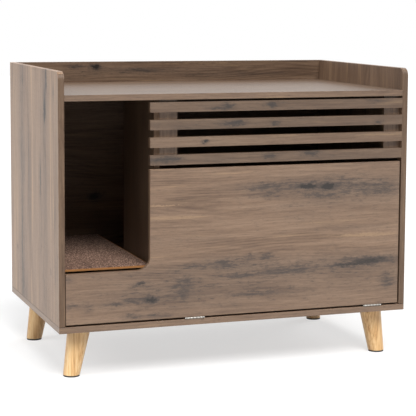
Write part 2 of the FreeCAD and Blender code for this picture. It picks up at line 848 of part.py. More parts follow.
def leaning_cone(x, y, right):
    """A turned, tapered leg whose axis leans outwards, cut level at the cabinet and at its pad."""
    height = "(Sizes.leg_height-Sizes.pad_thickness)"
    slant = f"sqrt({height}^2+Sizes.leg_splay^2)"
    growth = f"((Sizes.leg_top_radius-Sizes.leg_foot_radius)/{slant})"
    spare = "(Sizes.leg_splay/2)"
    cone = doc.addObject("Part::Cone", "Turning")
    bind(
        cone,
        Radius1=f"Sizes.leg_foot_radius-{growth}*{spare}",
        Radius2=f"Sizes.leg_top_radius+{growth}*{spare}",
        Height=f"{slant}+2*{spare}",
    )
    cone.Placement = FreeCAD.Placement(
        FreeCAD.Vector(0, 0, 0), FreeCAD.Rotation(FreeCAD.Vector(0, -right, 0), 1)
    )
    foot = (f"({x}+({right})*Sizes.leg_splay)", y, "Sizes.pad_thickness")
    shift = (
        f"(({right})*{spare}*Sizes.leg_splay/{slant})",
        "0",
        f"(-{spare}*{height}/{slant})",
    )
    for letter, base, move in zip("xyz", foot, shift):
        cone.setExpression(f".Placement.Base.{letter}", f"{base}+{move}")
    cone.setExpression(".Placement.Rotation.Angle", f"atan(Sizes.leg_splay/{height})")
    reach = "(2*Sizes.leg_top_radius+Sizes.leg_splay)"
    slab = block(
        (f"({x}-{reach})", f"({y}-{reach})", "Sizes.pad_thickness"),
        (f"({x}+{reach})", f"({y}+{reach})", UNDERSIDE),
    )
    leg = doc.addObject("Part::MultiCommon", "Leg")
    leg.Shapes = [cone, slab]
    return leg


def legs():
    """Four turned legs that taper and lean outwards, each on a hanger bolt in a prong nut."""
    bolts, nuts = [], []
    for name, (right, rear) in LEGS.items():
        x = f"(({right})*(Sizes.width/2-Sizes.leg_inset_side))"
        y_edge = BACK if rear > 0 else FRONT
        y = f"({y_edge}-({rear})*Sizes.leg_inset_front)"
        foot_x = f"({x}+({right})*Sizes.leg_splay)"
        leg = leaning_cone(x, y, right)
        bore_radius = "Sizes.bolt_radius+Sizes.fit_gap"
        bolt_low = f"({UNDERSIDE}-Sizes.bolt_in_leg)"
        bore = rod(
            (x, y, f"({bolt_low}-Sizes.fit_gap)"), "+z", bore_radius, "Sizes.bolt_in_leg+1"
        )
        keep(without(leg, [bore]), f"leg_{name}")
        keep(
            rod(
                (foot_x, y, "0"),
                "+z",
                "Sizes.leg_foot_radius-Sizes.pad_inset",
                "Sizes.pad_thickness",
            ),
            f"foot_pad_{name}",
        )
        bolts.append(
            rod((x, y, bolt_low), "+z", "Sizes.bolt_radius", "Sizes.bolt_in_leg+Sizes.board")
        )
        barrel_low = f"({FLOOR}-Sizes.tnut_barrel_length)"
        nut = joined(
            [
                rod(
                    (x, y, barrel_low),
                    "+z",
                    "Sizes.tnut_barrel_radius",
                    "Sizes.tnut_barrel_length",
                ),
                rod((x, y, FLOOR), "+z", "Sizes.tnut_flange_radius", "Sizes.tnut_flange_thickness"),
            ]
        )
        nuts.append(without(nut, [rod((x, y, bolt_low), "+z", bore_radius, "Sizes.leg_height")]))
        drill("Bottom", (x, y, f"({UNDERSIDE}-1)"), "+z", bore_radius, "Sizes.board+2")
        drill(
            "Bottom",
            (x, y, f"({barrel_low}-Sizes.fit_gap)"),
            "+z",
            "Sizes.tnut_barrel_radius+Sizes.fit_gap",
            "Sizes.tnut_barrel_length+1",
        )
    group(bolts, "leg_hanger_bolts")
    group(nuts, "leg_prong_nuts")


# --- assembly and export -------------------------------------------------------------------------


def build():
    """Makes every sub-part. Boards are drilled last, when all their holes are known."""
    boards = carcass_boards()
    door = flap_door_board()
    carcass_joints()
    louver()
    carpet_board()
    battens()
    hinges()
    catches()
    legs()
    drilled("Bottom", boards["Bottom"], "bottom_panel")
    drilled("LeftSide", boards["LeftSide"], "left_side_panel")
    drilled("RightSide", boards["RightSide"], "right_side_panel")
    drilled("Back", boards["Back"], "back_panel")
    drilled("Top", boards["Top"], "top_panel")
    drilled("Partition", boards["Partition"], "partition")
    drilled("Door", door, "flap_door")
    group(cams, "cam_discs")
    group(cam_bolts, "cam_bolts")
    group(dowels, "wooden_dowels")
    group(confirmats, "connector_screws")
    doc.recompute()


def check():
    """Stops if any object failed or any sub-part is not a valid shape."""
    for thing in doc.Objects:
        if "Invalid" in thing.State or "Error" in thing.State:
            raise RuntimeError(f"{thing.Name} ({thing.Label}) failed: {thing.State}")
    for part in subparts:
        if part.Shape.isNull() or not part.Shape.isValid() or not part.Shape.Solids:
            raise RuntimeError(f"{part.Label} has no valid solid")


def export():
    """Writes each sub-part to its own file."""
    os.makedirs("parts", exist_ok=True)
    for part in subparts:
        part.Shape.exportStep(f"parts/{part.Label}.step")
        box = part.Shape.BoundBox
        size = f"{box.XLength:.1f} x {box.YLength:.1f} x {box.ZLength:.1f}"
        print(f"{part.Label}: {len(part.Shape.Solids)} solid(s), {size} mm")


build()
check()
export()
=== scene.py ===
"""A cat litter box cabinet on splayed legs.

Its boards carry an oak print. It has a louver, a drop-down flap door and a felted step.
"""

import math

import bpy
import numpy as np
from mathutils import Matrix, Vector


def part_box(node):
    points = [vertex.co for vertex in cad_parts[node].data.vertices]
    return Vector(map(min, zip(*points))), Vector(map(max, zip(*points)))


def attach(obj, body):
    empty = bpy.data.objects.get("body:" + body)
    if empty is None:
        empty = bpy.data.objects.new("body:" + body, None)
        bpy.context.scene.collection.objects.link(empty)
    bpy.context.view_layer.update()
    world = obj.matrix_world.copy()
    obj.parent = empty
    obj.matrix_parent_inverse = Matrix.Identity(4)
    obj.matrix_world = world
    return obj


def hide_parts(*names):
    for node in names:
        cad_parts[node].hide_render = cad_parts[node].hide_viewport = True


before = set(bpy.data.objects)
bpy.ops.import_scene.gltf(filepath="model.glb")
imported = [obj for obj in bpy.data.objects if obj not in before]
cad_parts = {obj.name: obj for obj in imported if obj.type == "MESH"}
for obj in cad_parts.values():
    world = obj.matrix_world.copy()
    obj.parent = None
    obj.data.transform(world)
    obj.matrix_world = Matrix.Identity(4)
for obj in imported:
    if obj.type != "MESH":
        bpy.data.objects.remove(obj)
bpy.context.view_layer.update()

# --- Camera --------------------------------------------------------------------------------------
# The photograph's own viewpoint: ahead and to the left of the cabinet, a little above its top, with
# a long lens. Place, turn and focal length come from the cabinet's edges in the picture.

CAMERA_PLACE = Vector((-1.26887, -3.64036, 0.91623))
CAMERA_YAW, CAMERA_PITCH, CAMERA_ROLL = 0.3504, 0.1076, 0.0067
FOCAL_PIXELS, FRAME_PIXELS = 1461.02, 416
PRINCIPAL_PIXEL = (225.53, 160.0)
SENSOR_WIDTH = 36.0

ahead = Vector((
    math.sin(CAMERA_YAW) * math.cos(CAMERA_PITCH),
    math.cos(CAMERA_YAW) * math.cos(CAMERA_PITCH),
    -math.sin(CAMERA_PITCH),
))
level_right = Vector((math.cos(CAMERA_YAW), -math.sin(CAMERA_YAW), 0))
level_up = level_right.cross(ahead)
right = level_right * math.cos(CAMERA_ROLL) + level_up * math.sin(CAMERA_ROLL)
up = level_up * math.cos(CAMERA_ROLL) - level_right * math.sin(CAMERA_ROLL)
camera_data = bpy.data.cameras.new("studio_camera")
camera_data.sensor_width = SENSOR_WIDTH
camera_data.lens = FOCAL_PIXELS / FRAME_PIXELS * SENSOR_WIDTH
camera_data.shift_x = (FRAME_PIXELS / 2 - PRINCIPAL_PIXEL[0]) / FRAME_PIXELS
camera_data.shift_y = (PRINCIPAL_PIXEL[1] - FRAME_PIXELS / 2) / FRAME_PIXELS
camera = bpy.data.objects.new("studio_camera", camera_data)
camera_turn = Matrix((right, up, -ahead)).transposed().to_4x4()
camera.matrix_world = Matrix.Translation(CAMERA_PLACE) @ camera_turn
bpy.context.scene.collection.objects.link(camera)
bpy.context.scene.camera = camera

# --- Carcass boards ------------------------------------------------------------------------------
# Particle board of 15 mm covered with a printed oak foil, grey-brown, with knots, slate-coloured
# smoky patches and an embossed grain. The edges carry a banding of the same print.


class Graph:
    """A node tree under construction: each call adds a node and gives back its main output."""

    def __init__(self, tree):
        self.tree = tree

    def add(self, kind, inputs=(), **settings):
        node = self.tree.nodes.new(kind)
        for key, value in settings.items():
            setattr(node, key, value)
        for key, value in dict(inputs).items():
            self.put(node.inputs[key], value)
        return node

    def put(self, socket, value):
        if isinstance(value, bpy.types.NodeSocket):
            self.tree.links.new(value, socket)
        else:
            socket.default_value = value

    def math(self, operation, *values, clamp=False):
        node = self.add("ShaderNodeMath", operation=operation, use_clamp=clamp)
        for socket, value in zip(node.inputs, values):
            self.put(socket, value)
        return node.outputs[0]

    def clamp(self, value):
        """The value held between 0 and 1."""
        return self.math("MINIMUM", self.math("MAXIMUM", value, 0.0), 1.0)

    def vector(self, operation, *values):
        node = self.add("ShaderNodeVectorMath", operation=operation)
        for socket, value in zip(node.inputs, values):
            self.put(socket, value)
        return node.outputs["Value" if operation in ("DOT_PRODUCT", "LENGTH") else "Vector"]

    def object_place(self):
        """The point on the object, in metres."""
        return self.add("ShaderNodeTexCoord").outputs["Object"]

    def split(self, vector):
        return self.add("ShaderNodeSeparateXYZ", {"Vector": vector}).outputs

    def join(self, x, y, z):
        return self.add("ShaderNodeCombineXYZ", {"X": x, "Y": y, "Z": z}).outputs[0]

    def noise(self, vector, stretch, detail=2.0, roughness=0.5):
        """Noise whose cells are 1/stretch metres long on each axis."""
        moved = self.vector("MULTIPLY", vector, stretch)
        return self.add(
            "ShaderNodeTexNoise",
            {"Vector": moved, "Scale": 1.0, "Detail": detail, "Roughness": roughness},
        ).outputs["Fac"]

    def ramp(self, value, low, high, to_low=0.0, to_high=1.0):
        """A smooth step from to_low at low to to_high at high."""
        node = self.add(
            "ShaderNodeMapRange",
            {"Value": value, "From Min": low, "From Max": high, "To Min": to_low, "To Max": to_high},
            interpolation_type="SMOOTHSTEP",
        )
        return node.outputs["Result"]

    def mix(self, factor, first, second, blend="MIX"):
        node = self.add("ShaderNodeMix", data_type="RGBA", blend_type=blend)
        self.put(node.inputs[0], factor)
        self.put(node.inputs[6], first)
        self.put(node.inputs[7], second)
        return node.outputs[2]

    def mix_vector(self, factor, first, second):
        node = self.add("ShaderNodeMix", data_type="VECTOR")
        self.put(node.inputs[0], factor)
        self.put(node.inputs[4], first)
        self.put(node.inputs[5], second)
        return node.outputs[1]

    def colours(self, value, stops):
        """A colour ramp through (place, colour) stops."""
        node = self.add("ShaderNodeValToRGB", {"Fac": value})
        elements = node.color_ramp.elements
        while len(elements) < len(stops):
            elements.new(0.5)
        for element, (place, colour) in zip(elements, stops):
            element.position = place
            element.color = (*colour, 1)
        return node.outputs["Color"]

    def use(self, group, **values):
        """An instance of a node group."""
        node = self.add("ShaderNodeGroup", node_tree=group)
        for name, value in values.items():
            self.put(node.inputs[name.replace("_", " ")], value)
        return node.outputs


def effect(name, inputs, outputs):
    """An empty shader node group with named sockets: its graph, its input sockets and its end."""
    tree = bpy.data.node_groups.new(name, "ShaderNodeTree")
    for socket, kind in inputs.items():
        tree.interface.new_socket(socket, in_out="INPUT", socket_type=f"NodeSocket{kind}")
    for socket, kind in outputs.items():
        tree.interface.new_socket(socket, in_out="OUTPUT", socket_type=f"NodeSocket{kind}")
    graph = Graph(tree)
    start = graph.add("NodeGroupInput").outputs
    end = graph.add("NodeGroupOutput").inputs
    return graph, start, end


def finish_material(name):
    """A new material: it, its graph and its Principled shader."""
    material = bpy.data.materials.new(name)
    material.use_nodes = True
    graph = Graph(material.node_tree)
    shader = next(n for n in material.node_tree.nodes if n.type == "BSDF_PRINCIPLED")
    return material, graph, shader


def paint(graph, shader, colour, roughness):
    """Feeds the shader's colour and roughness."""
    graph.put(shader.inputs["Base Color"], colour)
    graph.put(shader.inputs["Roughness"], roughness)


def emboss(graph, shader, height, depth):
    """Feeds the shader's normal with a bump of so many metres."""
    bump = graph.add("ShaderNodeBump", {"Height": height, "Strength": 1.0, "Distance": depth})
    graph.put(shader.inputs["Normal"], bump.outputs["Normal"])


def dress(names, material):
    """Gives CAD nodes a material in all their slots."""
    for name in names:
        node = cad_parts[name]
        node.data.materials.clear()
        node.data.materials.append(material)


# One figure of the print: a knot or a smoky patch, a bell exp(-d^2) over an ellipse along the grain.
figure, figure_in, figure_out = effect(
    "oak_figure",
    {"Vector": "Vector", "Centre": "Vector", "Reach": "Vector", "Turn": "Float", "Dark": "Float",
     "Turn in": "Float", "Dark in": "Float"},
    {"Turn": "Float", "Dark": "Float"},
)
from_centre = figure.vector("SUBTRACT", figure_in["Vector"], figure_in["Centre"])
away = figure.vector("MULTIPLY", from_centre, figure_in["Reach"])
square = figure.vector("DOT_PRODUCT", away, away)
bell = figure.math("EXPONENT", figure.math("MULTIPLY", square, -1.0))
for effect_name in ("Turn", "Dark"):
    added = figure.math("MULTIPLY_ADD", bell, figure_in[effect_name], figure_in[f"{effect_name} in"])
    figure.put(figure_out[effect_name], added)

# The print itself. Its X runs along the grain, in metres.
oak, oak_in, oak_out = effect(
    "oak_print",
    {"Vector": "Vector", "Turn": "Float", "Dark": "Float", "Smoke": "Float", "Light": "Float"},
    {"Color": "Color", "Roughness": "Float", "Height": "Float"},
)
PRINT_TONES = [
    (0.24, (0.070, 0.041, 0.026)),
    (0.40, (0.172, 0.106, 0.069)),
    (0.50, (0.262, 0.166, 0.108)),
    (0.62, (0.345, 0.228, 0.152)),
    (0.78, (0.450, 0.310, 0.205)),
]
SMOKE = (0.098, 0.074, 0.062, 1)
SLATE = (0.050, 0.043, 0.040, 1)
CHAR = (0.020, 0.016, 0.014, 1)
HONEY = (0.420, 0.275, 0.165, 1)

# Each layer of the print is noise with so many cells to the metre along, across and into the
# grain, then its octaves and how rough they are.
SWAY = (2.2, 9.0, 9.0), 1.5
FLAME = (1.5, 8.5, 8.5), 1.0, 0.4
HAIRLINES = (26.0, 700.0, 700.0), 3.0, 0.6
THREADS = (8.0, 210.0, 210.0), 5.0, 0.68
STRAKES = (3.4, 62.0, 62.0), 3.0, 0.6
BANDS = (1.6, 15.0, 15.0), 3.0, 0.55
RING_FIELDS = (3.0, 15.0, 15.0), 2.0
HONEY_STREAKS = (3.2, 70.0, 70.0), 3.0, 0.6
WISPS = (46.0, 210.0, 210.0), 5.0, 0.76
CLOUDS = (3.6, 19.0, 19.0), 3.0, 0.6
PORES = (70.0, 1400.0, 1400.0), 1.0

SWAY_REACH = 0.026
RING_STEP, RING_FLAME = 700.0, 110.0
RING_DEPTH, KNOT_RING_DEPTH = 0.09, 0.05
TONE_SHARES = [(HAIRLINES, 0.16), (STRAKES, 0.20), (BANDS, 0.26)]
THREADS_SHARE = 0.42
HONEY_STRENGTH, HONEY_LOSS = 0.75, 0.20
HAZE_STRENGTH, HAZE_GRAIN = 0.56, 1.6
COVER_STRENGTH, COVER_VEIL = 0.70, 0.22
HEART_STRENGTH, HEART_WISPS = 0.85, 0.8
PORE_STRENGTH, PORE_DEPTH = 0.35, 0.5
PRINT_ROUGHNESS, THREADS_ROUGHNESS, COVER_ROUGHNESS = 0.30, 0.16, 0.06
THREADS_HEIGHT = 0.7

sway = oak.noise(oak_in["Vector"], *SWAY)
along, across, depth = oak.split(oak_in["Vector"])
bent = oak.join(along, oak.math("MULTIPLY_ADD", sway, SWAY_REACH, across), depth)
threads = oak.noise(bent, *THREADS)

# Growth rings: sine waves across the grain, bowed by the flame, and stronger round a knot.
flame = oak.math("MULTIPLY", oak.noise(oak_in["Vector"], *FLAME), RING_FLAME)
phase = oak.math("MULTIPLY_ADD", oak.split(bent)[1], RING_STEP, flame)
wave = oak.math("SINE", oak.math("ADD", phase, oak_in["Turn"]))
rings = oak.math("MULTIPLY_ADD", wave, 0.5, 0.5)
ring_show = oak.ramp(oak.noise(bent, *RING_FIELDS), 0.50, 0.70, 0.0, RING_DEPTH)
ring_show = oak.math(
    "MULTIPLY_ADD", oak.math("MAXIMUM", oak_in["Dark"], 0.0), KNOT_RING_DEPTH, ring_show)

tone = oak.math("MULTIPLY", threads, THREADS_SHARE)
for layer, share in TONE_SHARES:
    tone = oak.math("MULTIPLY_ADD", oak.noise(bent, *layer), share, tone)
tone = oak.math("SUBTRACT", tone, oak.math("MULTIPLY", rings, ring_show))
oak_colour = oak.colours(tone, PRINT_TONES)

honey = oak.math("MULTIPLY_ADD", oak_in["Dark"], -HONEY_LOSS, oak.noise(bent, *HONEY_STREAKS))
oak_colour = oak.mix(oak.ramp(honey, 0.58, 0.74, 0.0, HONEY_STRENGTH), oak_colour, HONEY)

# Smoke: a soft haze that lets the threads through, slate-coloured specks and charred knots.
wisps = oak.noise(bent, *WISPS)
clouds = oak.ramp(oak.noise(bent, *CLOUDS), 0.50, 0.72)
veil = oak.math("MULTIPLY_ADD", clouds, oak_in["Smoke"], oak_in["Dark"])
haze = oak.math("MULTIPLY_ADD", oak.math("SUBTRACT", threads, 0.5), -HAZE_GRAIN, 1.0)
haze = oak.math("MULTIPLY", oak.math("MULTIPLY", haze, HAZE_STRENGTH), oak.clamp(veil))
oak_colour = oak.mix(haze, oak_colour, SMOKE)
cover = oak.math("MULTIPLY_ADD", veil, COVER_VEIL, wisps)
cover = oak.ramp(cover, 0.59, 0.82, 0.0, COVER_STRENGTH)
oak_colour = oak.mix(cover, oak_colour, SLATE)
heart = oak.ramp(oak.math("MULTIPLY_ADD", wisps, HEART_WISPS, oak_in["Dark"]), 1.45, 2.05)
oak_colour = oak.mix(oak.math("MULTIPLY", heart, HEART_STRENGTH), oak_colour, CHAR)
pores = oak.ramp(oak.noise(bent, *PORES), 0.60, 0.70)
oak_colour = oak.mix(oak.math("MULTIPLY", pores, PORE_STRENGTH), oak_colour, CHAR)

# Light scales the whole print; on some boards this holds painted light and shade.
shade = oak.join(oak_in["Light"], oak_in["Light"], oak_in["Light"])
oak.put(oak_out["Color"], oak.mix(1.0, oak_colour, shade, "MULTIPLY"))
gloss_loss = oak.math("MULTIPLY_ADD", cover, COVER_ROUGHNESS, PRINT_ROUGHNESS)
oak.put(oak_out["Roughness"], oak.math("MULTIPLY_ADD", threads, THREADS_ROUGHNESS, gloss_loss))
pore_pits = oak.math("MULTIPLY", pores, -PORE_DEPTH)
oak.put(oak_out["Height"], oak.math("MULTIPLY_ADD", threads, THREADS_HEIGHT, pore_pits))

GRAIN_EMBOSS = 0.00022
# Where a side stands on the bottom board, a thin line of painted shade stands for the shadow in the
# groove at the joint.
SEAM_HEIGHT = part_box("left_side_panel")[0].z
SEAM_SHADE_WIDTH, SEAM_SHADE_DARKNESS = 0.0032, 0.65
BOARD_END_FACING, BANDING_FACING = 0.85, 0.7
RAGGED = (90.0, 90.0, 90.0), 3.0, 0.6
RAGGED_ALONG, RAGGED_ACROSS = 0.030, 0.016
FOIL_IOR = 1.5


def oak_board(name, grain, face, figures=(), shift=(0.0, 0.0, 0.0), smoke=0.35, light=1.0,
              edge=0.78, gloss=0.5, seam_shade_height=None):
    """The oak print laid on a board.

    grain is the axis along which the print runs and face the broad face's normal. On the board's
    ends, whose normal is the grain's own axis, the banding's print runs across the grain instead.
    light scales the print's lightness: partly the board's own tone, and on the top, the left side
    and the partition painted light and shade. edge is that of the banding on the front. figures are
    (along, across, half length, half width, turn, dark), in metres on the board; a pale one has dark
    < 0.
    A height given for the seam draws a thin line of painted shade where a side stands on the bottom
    board, for the shadow of the narrow groove at that joint.
    """
    material, graph, shader = finish_material(name)
    place = graph.add("ShaderNodeTexCoord").outputs
    axes = dict(zip("XYZ", graph.split(place["Object"])))
    normal = dict(zip("XYZ", graph.split(place["Normal"])))
    third = ({"X", "Y", "Z"} - {grain, face}).pop()
    main = graph.join(axes[grain], axes[third], axes[face])
    end = graph.join(axes[third], axes[face], axes[grain])
    end_facing = graph.math("ABSOLUTE", normal[grain])
    laid = graph.mix_vector(graph.math("GREATER_THAN", end_facing, BOARD_END_FACING), main, end)
    if face != "Y":
        banding = graph.math("GREATER_THAN", graph.math("ABSOLUTE", normal["Y"]), BANDING_FACING)
        light = graph.math("MULTIPLY_ADD", banding, edge - light, light)
    if seam_shade_height:
        # Painted shade: a thin dark line along the joint with the bottom board.
        line = graph.math("COMPARE", axes["Z"], seam_shade_height, SEAM_SHADE_WIDTH / 2)
        light = graph.math("MULTIPLY", light, graph.math("MULTIPLY_ADD", line, -SEAM_SHADE_DARKNESS, 1.0))
    ragged = graph.math("SUBTRACT", graph.noise(main, *RAGGED), 0.5)
    stray_along = graph.math("MULTIPLY", ragged, RAGGED_ALONG)
    stray_across = graph.math("MULTIPLY", ragged, RAGGED_ACROSS)
    marked = graph.vector("ADD", main, graph.join(stray_along, stray_across, 0.0))
    turn, dark = 0.0, 0.0
    for x, y, half_length, half_width, turning, darkness in figures:
        turn, dark = graph.use(
            figure.tree, Vector=marked, Centre=(x, y, 0),
            Reach=(1 / half_length, 1 / half_width, 0), Turn=turning, Dark=darkness,
            Turn_in=turn, Dark_in=dark,
        )
    moved = graph.vector("ADD", laid, shift)
    print_out = graph.use(
        oak.tree, Vector=moved, Turn=turn, Dark=dark, Smoke=smoke, Light=light)
    paint(graph, shader, print_out["Color"], print_out["Roughness"])
    emboss(graph, shader, print_out["Height"], GRAIN_EMBOSS)
    shader.inputs["IOR"].default_value = FOIL_IOR
    shader.inputs["Specular IOR Level"].default_value = gloss
    return material


dress(["bottom_panel"], oak_board("oak_bottom", "X", "Z", shift=(1.7, 0.4, 0.9), edge=0.74))
# Painted shade: the top's print is dimmed to 0.53 to offset the lamps, though it is the same
# laminate as the door.
dress(["top_panel"], oak_board(
    "oak_top", "X", "Z", shift=(0.3, 2.4, 0.0), light=0.53, edge=0.74, gloss=0.52))
dress(["back_panel"], oak_board(
    "oak_back", "X", "Y",
    figures=[
        (-0.226, 0.737, 0.016, 0.008, 9.0, 1.9), (-0.282, 0.738, 0.030, 0.007, 4.0, 1.0),
        (-0.085, 0.727, 0.120, 0.010, 0.0, 0.6), (-0.228, 0.379, 0.022, 0.011, 9.0, 1.8),
        (0.152, 0.714, 0.160, 0.008, 0.0, 0.4), (0.021, 0.741, 0.200, 0.005, 0.0, -0.5),
    ],
    shift=(0.9, 1.3, 0.0), smoke=0.45, light=0.56, gloss=0.15,
))
LEFT_FIGURES = [
    (0.737, -0.149, 0.045, 0.010, 3.0, 1.2), (0.651, -0.132, 0.036, 0.011, 4.0, 1.5),
    (0.472, -0.083, 0.045, 0.009, 2.0, 1.2), (0.532, 0.052, 0.130, 0.009, 0.0, 1.0),
    (0.702, -0.224, 0.026, 0.008, 2.0, 1.2), (0.258, 0.194, 0.008, 0.006, 7.0, 1.5),
    (0.343, 0.035, 0.120, 0.009, 0.0, 0.9), (0.256, -0.191, 0.010, 0.006, 5.0, 1.3),
    (0.261, -0.234, 0.040, 0.010, 1.0, 0.8), (0.310, 0.135, 0.130, 0.010, 0.0, 0.6),
    (0.450, 0.130, 0.900, 0.035, 0.0, 0.50), (0.450, -0.130, 0.700, 0.028, 0.0, 0.40),
    (0.450, 0.020, 0.900, 0.030, 0.0, -0.60), (0.450, -0.205, 0.900, 0.025, 0.0, -0.60),
    (0.450, 0.225, 0.900, 0.030, 0.0, -0.70),
]
# Painted sheen: the left side's print is lightened to 1.20 in place of the gloss that brightens it
# at a grazing view.
dress(["left_side_panel"], oak_board(
    "oak_left", "Z", "X", figures=LEFT_FIGURES, shift=(0.0, 3.1, 0.2), smoke=0.45, light=1.20,
    edge=0.58, gloss=0.22, seam_shade_height=SEAM_HEIGHT))
dress(["right_side_panel"], oak_board(
    "oak_right", "Z", "X", shift=(2.2, 0.7, 0.0), smoke=0.35, light=0.78, edge=0.54, gloss=0.3,
    seam_shade_height=SEAM_HEIGHT))
# Painted shade: the partition's print is darkened to 0.36 for the dark inside of the cabinet.
dress(["partition"], oak_board(
    "oak_partition", "Z", "X", shift=(1.1, 5.3, 0.0), light=0.36, edge=0.78, gloss=0.12))

# --- Louver --------------------------------------------------------------------------------------
# Four slats of the same board, screwed from behind to two upright stiles. Each slat was cut from
# another place of the sheet, so each has its own stretch of the print.

SLATS = [
    (0.56, [(-0.033, 0.663, 0.020, 0.008, 7.0, 1.17), (-0.064, 0.658, 0.030, 0.004, 2.0, 0.78),
            (0.083, 0.664, 0.020, 0.008, 7.0, 1.17), (0.380, 0.669, 0.030, 0.004, 2.0, 0.78)]),
    (0.52, [(-0.004, 0.621, 0.022, 0.008, 8.0, 1.17), (-0.040, 0.619, 0.022, 0.008, 6.0, 0.78),
            (0.092, 0.617, 0.014, 0.006, 5.0, 1.04), (0.379, 0.615, 0.014, 0.006, 5.0, 1.04)]),
    (0.66, [(-0.092, 0.577, 0.008, 0.005, 7.0, 1.69), (0.170, 0.583, 0.300, 0.006, 0.0, -0.6)]),
    (0.56, [(-0.216, 0.533, 0.040, 0.010, 1.0, 0.91), (-0.177, 0.536, 0.030, 0.008, 2.0, 0.78),
            (0.084, 0.536, 0.022, 0.009, 7.0, 1.04), (0.190, 0.540, 0.026, 0.009, 7.0, 1.04)]),
]
for number, (slat_light, knots) in enumerate(SLATS, start=1):
    dress([f"louver_slat_{number}"], oak_board(
        f"oak_slat_{number}", "X", "Y", figures=knots, shift=(0.37 * number, 0.61 * number, 0.0),
        smoke=0.45, light=slat_light))
for side, stile_shift in {"left": (3.0, 0.2, 0.5), "right": (3.0, 0.9, 1.5)}.items():
    dress([f"louver_stile_{side}"], oak_board(
        f"oak_stile_{side}", "Z", "Y", shift=stile_shift, light=0.74))

# --- Flap door -----------------------------------------------------------------------------------
# One L-shaped board whose print shows its best knots: one high on the right, smoky patches low on
# the right and in the middle, and a dark one under the entrance. Broad soft darkenings over the
# lower half are partly print and partly painted shade of light falling from above.

# The second to fourth figures, broad and soft, darken the lower half: partly print, partly painted
# shade.
DOOR_FIGURES = [
    (0.290, 0.446, 0.210, 0.058, 0.0, 0.60), (-0.080, 0.205, 0.330, 0.075, 0.0, 0.38),
    (0.330, 0.215, 0.180, 0.060, 0.0, 0.38), (0.059, 0.205, 0.120, 0.040, 0.0, 0.20),
    (0.240, 0.453, 0.011, 0.007, 11.0, 1.7), (0.182, 0.456, 0.026, 0.006, 5.0, 1.0),
    (0.212, 0.457, 0.190, 0.016, 1.0, 0.55), (0.230, 0.432, 0.045, 0.006, 2.0, 0.50),
    (0.380, 0.440, 0.060, 0.018, 6.0, 0.50), (0.060, 0.437, 0.045, 0.006, 2.0, 0.45),
    (0.035, 0.459, 0.070, 0.009, 1.0, 0.45), (0.330, 0.345, 0.120, 0.008, 0.0, 0.35),
    (0.370, 0.258, 0.070, 0.009, 1.0, 0.90), (0.300, 0.248, 0.070, 0.006, 1.0, 0.70),
    (0.340, 0.255, 0.150, 0.028, 0.0, 0.35), (0.413, 0.198, 0.022, 0.018, 5.0, 0.80),
    (-0.040, 0.271, 0.022, 0.012, 6.0, 0.75), (0.028, 0.285, 0.018, 0.009, 6.0, 0.70),
    (0.073, 0.282, 0.018, 0.009, 6.0, 0.75), (0.001, 0.238, 0.080, 0.006, 0.0, 0.50),
    (0.145, 0.241, 0.060, 0.010, 1.0, 0.60), (0.051, 0.262, 0.190, 0.022, 0.0, 0.40),
    (-0.137, 0.234, 0.022, 0.010, 5.0, 0.55), (-0.146, 0.209, 0.030, 0.022, 4.0, 0.40),
    (-0.115, 0.267, 0.030, 0.006, 2.0, 0.45), (-0.230, 0.189, 0.018, 0.010, 9.0, 1.15),
    (-0.277, 0.192, 0.030, 0.007, 2.0, 0.60), (-0.328, 0.185, 0.035, 0.006, 1.0, 0.60),
    (-0.256, 0.232, 0.014, 0.005, 5.0, 1.10), (-0.230, 0.205, 0.130, 0.035, 0.0, 0.35),
    (-0.277, 0.152, 0.030, 0.008, 3.0, 0.60), (-0.210, 0.150, 0.040, 0.007, 2.0, 0.55),
    (-0.422, 0.186, 0.022, 0.006, 5.0, 0.70), (-0.438, 0.250, 0.014, 0.009, 7.0, 0.75),
    (-0.390, 0.178, 0.016, 0.014, 8.0, 0.40), (0.056, 0.188, 0.070, 0.006, 0.0, 0.45),
    (-0.203, 0.420, 0.060, 0.003, 0.0, -1.2), (-0.060, 0.421, 0.100, 0.004, 0.0, -0.9),
    (0.202, 0.312, 0.090, 0.003, 0.0, -0.9), (0.320, 0.323, 0.100, 0.006, 0.0, -1.0),
    (0.370, 0.298, 0.080, 0.004, 0.0, -1.1), (-0.150, 0.345, 0.080, 0.035, 8.0, 0.10),
]
dress(["flap_door"], oak_board(
    "oak_door", "X", "Y", figures=DOOR_FIGURES, shift=(0.62, 0.17, 0.0), smoke=0.25, light=0.87))

# --- Hinges, screws and catches ------------------------------------------------------------------
# Pressed steel butt hinges with a bright zinc finish, brushed along their leaves, and zinc-plated
# screws, bolts and cams. The catches are brown plastic with a ferrite magnet.


RIPPLE_DEPTH, RIPPLE_SHADE, PLAIN_SHADE = 0.45, 0.50, 0.72
BRUSHED_GLOSS, BRUSHED_SPREAD = 0.12, 0.25
BRUSHED_DEPTH = 0.00002
CLOUDING = (60.0, 60.0, 60.0), 3.0


def metal(name, colour, roughness, brushed=(30.0, 900.0, 900.0), ripple=0.0):
    """A plated metal with fine brushed lines and faint clouding of its shade.

    brushed is the lines' cells to the metre and ripple the waves of shade to the metre along X.
    """
    material, graph, shader = finish_material(name)
    place = graph.object_place()
    lines = graph.noise(place, brushed, 2.0)
    clouding = graph.noise(place, *CLOUDING)
    if ripple:
        phase = graph.math("MULTIPLY", graph.split(place)[0], ripple * 2 * math.pi)
        wave = graph.math("SINE", phase)
        clouding = graph.math("MULTIPLY_ADD", wave, RIPPLE_DEPTH, clouding, clamp=True)
    dark = tuple(c * (RIPPLE_SHADE if ripple else PLAIN_SHADE) for c in colour)
    sheen = graph.math("MULTIPLY_ADD", lines, BRUSHED_SPREAD, roughness - BRUSHED_GLOSS)
    paint(graph, shader, graph.mix(clouding, (*dark, 1), (*colour, 1)), sheen)
    shader.inputs["Metallic"].default_value = 1.0
    emboss(graph, shader, lines, BRUSHED_DEPTH)
    return material


